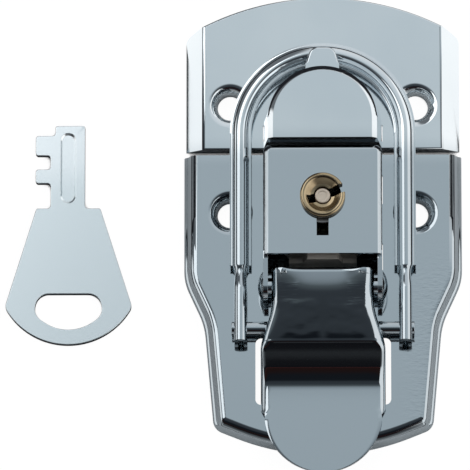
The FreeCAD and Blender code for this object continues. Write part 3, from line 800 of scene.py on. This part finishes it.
def makeLever():
    low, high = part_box("toggle_lever")
    widest, tip = high.x / mm, low.y / mm
    heel = (high.y / mm, high.z / mm)
    rows = leverRows(heel[0], tip)
    last = len(rows) - 1
    bpy.ops.mesh.primitive_grid_add(x_subdivisions=lever["across"], y_subdivisions=last, size=1)
    plate = bpy.context.object
    plate.name = "toggleLever"
    editOn(plate)

    def drape(vert):
        side = 2 * vert.co.x
        y = rows[last - round((vert.co.y + 0.5) * last)]
        half = leverHalf(y, widest, tip)
        near = smooth((y - lever["crease"]) / (heel[0] - lever["crease"]))
        z = leverHeight(y - lever["sideShift"] * near * side * side, heel)
        z += lever["cornerLift"] * near ** 6 * (side * side * (2 - side * side)) ** 3
        y += lever["cornerReach"] * near ** 8 * side ** 6
        vert.co = Vector((side * (half - leverRoll(y)), y, z)) * mm

    def roll(vert):  # one step of the rim's quarter turn
        radius = max(0.02, leverRoll(vert.co.y / mm))
        vert.co.x += math.copysign(radius * (math.sin(after) - math.sin(before)) * mm, vert.co.x)
        vert.co.z += (0.01 - radius * (math.cos(before) - math.cos(after))) * mm

    def lower(vert):
        vert.co.z = min(vert.co.z, follow(lever["wallFoot"], vert.co.y / mm) * mm)

    moveVerts(plate, drape)
    wallEnd = lever["shoulder"][1] - 0.05
    pick(plate, "edges", lambda e: len(e.link_faces) == 1 and placed(e).y > wallEnd and
         abs(placed(e).x) > 6.0 and abs(e.verts[0].co.y - e.verts[1].co.y) > tiny * mm)
    steps = lever["rollSteps"]
    for step in range(1, steps + 1):
        before, after = math.pi / 2 * (step - 1) / steps, math.pi / 2 * step / steps
        extrudeBy(0, 0, -0.01)
        moveVerts(plate, roll, True)
    extrudeBy(0, 0, -0.01)
    moveVerts(plate, lower, True)
    editOff()
    faceOut(plate)
    addSheet(plate, lever["sheet"])
    for node, radius in lever["bores"]:
        low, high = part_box(node)
        drill(plate, (low + high) / 2 / mm, radius, "MANIFOLD")
    polish(plate, tidy=False)
    finishPiece(plate, "lever", "plated_steel_lever", "toggle_lever")


# Plug: turned head with a rounded rim, a dished mouth, a bore and the key's slot
plug = {"neck": 3.2, "bore": 1.55, "rim": 0.8, "rimRound": 0.5, "crestRound": 0.3, "dishFloor": 1.15,
        "floorRing": 0.5, "slot": 1.5, "slotFar": -2.65, "turn": 18.0, "headDepth": 1.45, "fineEdge": 0.06}


def makePlug():
    low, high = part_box("lock_plug")
    head = (high.x - low.x) / 2 / mm
    spot = Vector(((low.x + high.x) / 2, (low.y + high.y) / 2, 0)) / mm
    top, bottom = high.z / mm, low.z / mm
    depth = plug["headDepth"]
    bpy.ops.mesh.primitive_cylinder_add(vertices=96, radius=head * mm, depth=depth * mm,
                                        location=Vector((spot.x, spot.y, top - depth / 2)) * mm)
    guide = bpy.context.object
    guide.name = "lockPlug"
    bpy.ops.object.transform_apply()
    editOn(guide)
    pick(guide, "faces", lambda f: f.normal.z > 0.9)
    bpy.ops.mesh.inset(thickness=plug["rim"] * mm)
    extrudeBy(0, 0, -plug["dishFloor"])
    shrink = (plug["bore"] + plug["floorRing"]) / (head - plug["rim"])
    bpy.ops.transform.resize(value=(shrink, shrink, 1))
    bpy.ops.mesh.inset(thickness=plug["floorRing"] * mm)
    extrudeBy(0, 0, bottom - (top - plug["dishFloor"]))
    bpy.ops.mesh.delete(type="FACE")
    pick(guide, "faces", lambda f: f.normal.z < -0.9)
    bpy.ops.mesh.inset(thickness=(head - plug["neck"]) * mm)
    extrudeBy(0, 0, bottom - (top - depth))
    bpy.ops.mesh.inset(thickness=(plug["neck"] - plug["bore"]) * mm)
    bpy.ops.mesh.delete(type="FACE")
    bpy.ops.mesh.select_all(action="SELECT")
    bpy.ops.mesh.remove_doubles(threshold=hair * mm)
    roundOff(guide, plug["rimRound"], 6, lambda e: nearRing(e, spot, head, top))
    roundOff(guide, plug["crestRound"], 4, lambda e: nearRing(e, spot, head - plug["rim"], top))
    editOff()
    bpy.ops.mesh.primitive_cube_add(size=1)
    tool = bpy.context.object
    reach = head + 1 - plug["slotFar"]
    tool.scale = Vector((reach, plug["slot"], 12)) * mm
    turn = math.radians(plug["turn"])
    away = plug["slotFar"] + reach / 2
    tool.location = Vector((spot.x + away * math.cos(turn), spot.y + away * math.sin(turn), top - 2)) * mm
    tool.rotation_euler = (0, 0, turn)
    cutAway(guide, tool)
    polish(guide, plug["fineEdge"])
    finishPiece(guide, "plug", "brass_plug", "lock_plug")


# Post in the middle of the plug, as the photograph seems to show
post = {"radius": 1.32, "foot": 8.4, "top": 12.75, "edge": 0.16, "rim": 0.55, "dish": 0.10, "fineEdge": 0.03,
        "bright": (0.72, 0.63, 0.53), "shade": (0.62, 0.54, 0.45), "rough": 0.45}


def makePost():
    low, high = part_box("lock_plug")
    spot = (low + high) / 2
    height = post["top"] - post["foot"]
    bpy.ops.mesh.primitive_cylinder_add(vertices=64, radius=post["radius"] * mm, depth=height * mm,
                                        location=(spot.x, spot.y, (post["foot"] + height / 2) * mm))
    pin = bpy.context.object
    pin.name = "guidePost"
    bpy.ops.object.transform_apply()
    editOn(pin)
    pick(pin, "faces", lambda f: f.normal.z > 0.9)
    bpy.ops.mesh.inset(thickness=post["rim"] * mm)
    extrudeBy(0, 0, -post["dish"])
    roundOff(pin, post["edge"], 4, lambda e: nearRing(e, spot / mm, post["radius"], post["top"]))
    editOff()
    polish(pin, post["fineEdge"])
    pin.data.materials.clear()
    pin.data.materials.append(makeDull("paleBronze", post["bright"], post["shade"], post["rough"]))
    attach(pin, "root")


# Key: rounded corners and edges, and a trough with sloping walls
flatKey = {"bright": (0.84, 0.885, 0.905), "shade": (0.70, 0.765, 0.79), "rough": 0.24, "cloud": 60.0,
           "fadeAlong": (-8, 16), "fadeFrom": (0.15, 0.65), "fine": 2600.0, "depth": 0.0012,
           "corner": 0.55, "edge": 0.14, "fineEdge": 0.04, "top": 1.2, "troughFloor": 0.9, "troughWall": 0.3,
           "troughClear": 1.6}


def makeSatin(name):
    material, start, place = newFinish(name)
    x, y, z = place.axes()
    cloud = grain(start, place, flatKey["cloud"], 2.0)
    first, last = flatKey["fadeAlong"]
    fade = (cloud * 0.5 + y.rise(first * mm, last * mm) * -0.5 + 0.5).rise(*flatKey["fadeFrom"])
    tone = start.paint(flatKey["bright"]).blendTo(flatKey["shade"], fade)
    fine = grain(start, place, flatKey["fine"], 2.0)
    return closeFinish(material, start, {"Base Color": tone, "Metallic": 1.0, "Roughness": flatKey["rough"],
                                         "Normal": bumped(start, fine, flatKey["depth"])})


def makeKey():
    key = cleanCopy("key", "flatKey")
    count = pick(key, "verts", lambda v: abs(v.co.z - flatKey["troughFloor"] * mm) < tiny * mm)
    floor = [v.co.copy() for v in bmesh.from_edit_mesh(key.data).verts if v.select]
    centre = sum(floor, Vector((0, 0, 0))) / count
    halfX = max(abs(spot.x - centre.x) for spot in floor)
    low, high = min(spot.y for spot in floor), max(spot.y for spot in floor)
    centre.y = (low + high) / 2
    wall = flatKey["troughWall"] * mm
    bpy.ops.transform.resize(value=(1 - wall / halfX, 1 - 2 * wall / (high - low), 1), center_override=centre)
    clear = flatKey["troughClear"]

    def upright(edge):
        return bend(edge) > 50 and abs(edge.verts[0].co.z - edge.verts[1].co.z) > 1 * mm

    def outer(edge):  # on the upper face, but not round the trough
        spot = placed(edge)
        beside = abs(spot.x - centre.x / mm) < clear and low / mm - clear < spot.y < high / mm + clear / 4
        return bend(edge) > 60 and spot.z > flatKey["top"] - tiny and not beside

    roundOff(key, flatKey["corner"], 5, upright, False)
    roundOff(key, flatKey["edge"], 4, outer, False)
    editOff()
    polish(key, flatKey["fineEdge"])
    finishPiece(key, "key", "key_steel", "key")


# Small pieces, as they are in the CAD but with finer edges. The bolt's steel is duller where it shows.
small = {"pieces": (("bail_pin", "bailPin", "lever", "plated_steel"),
                    ("pivot_rivets", "pivotRivets", "root", "plated_steel"),
                    ("lock_bolt", "lockBolt", "bolt", "bare_steel")),
         "fineEdge": 0.08,
         "boltSteel": ((0.46, 0.43, 0.385), (0.39, 0.36, 0.32), 0.5, 0.25)}  # bright, shade, rough, metal


def makeSmall():
    for node, name, body, slotName in small["pieces"]:
        piece = cleanCopy(node, name)
        editOff()
        polish(piece, small["fineEdge"])
        finishPiece(piece, body, slotName, node)
    steel = makeDull("boltSteel", *small["boltSteel"])
    bpy.data.objects["lockBolt"].data.materials[0] = steel


addCamera()
lightStudio()
addFloor()
addLamp("softKey", place=(-0.35, 0.25, 0.7), size=0.5, power=1.2)  # in metres and watts
finishes = makeAllFinishes()
for entry in frame["record"]["subparts"]:
    part = frame["nodes"][entry["node"]]
    part.data.materials.clear()
    part.data.materials.append(finishes[entry["material_slot"]])
print("studio and finishes ready")

makePlate("base_plate", "basePlate", 0.0, True)
makePlate("keeper_plate", "keeperPlate", plates["keeperScrewY"], False)
print("plates done")
makeLockCase()
makeCatchDome()
print("case and dome done")
makeKey()
makeBail()
print("bail done")
makeLever()
print("lever done")
makePlug()
makePost()
print("plug done")
makeSmall()
print("small parts done")

bpy.context.scene.view_settings.view_transform = "Standard"
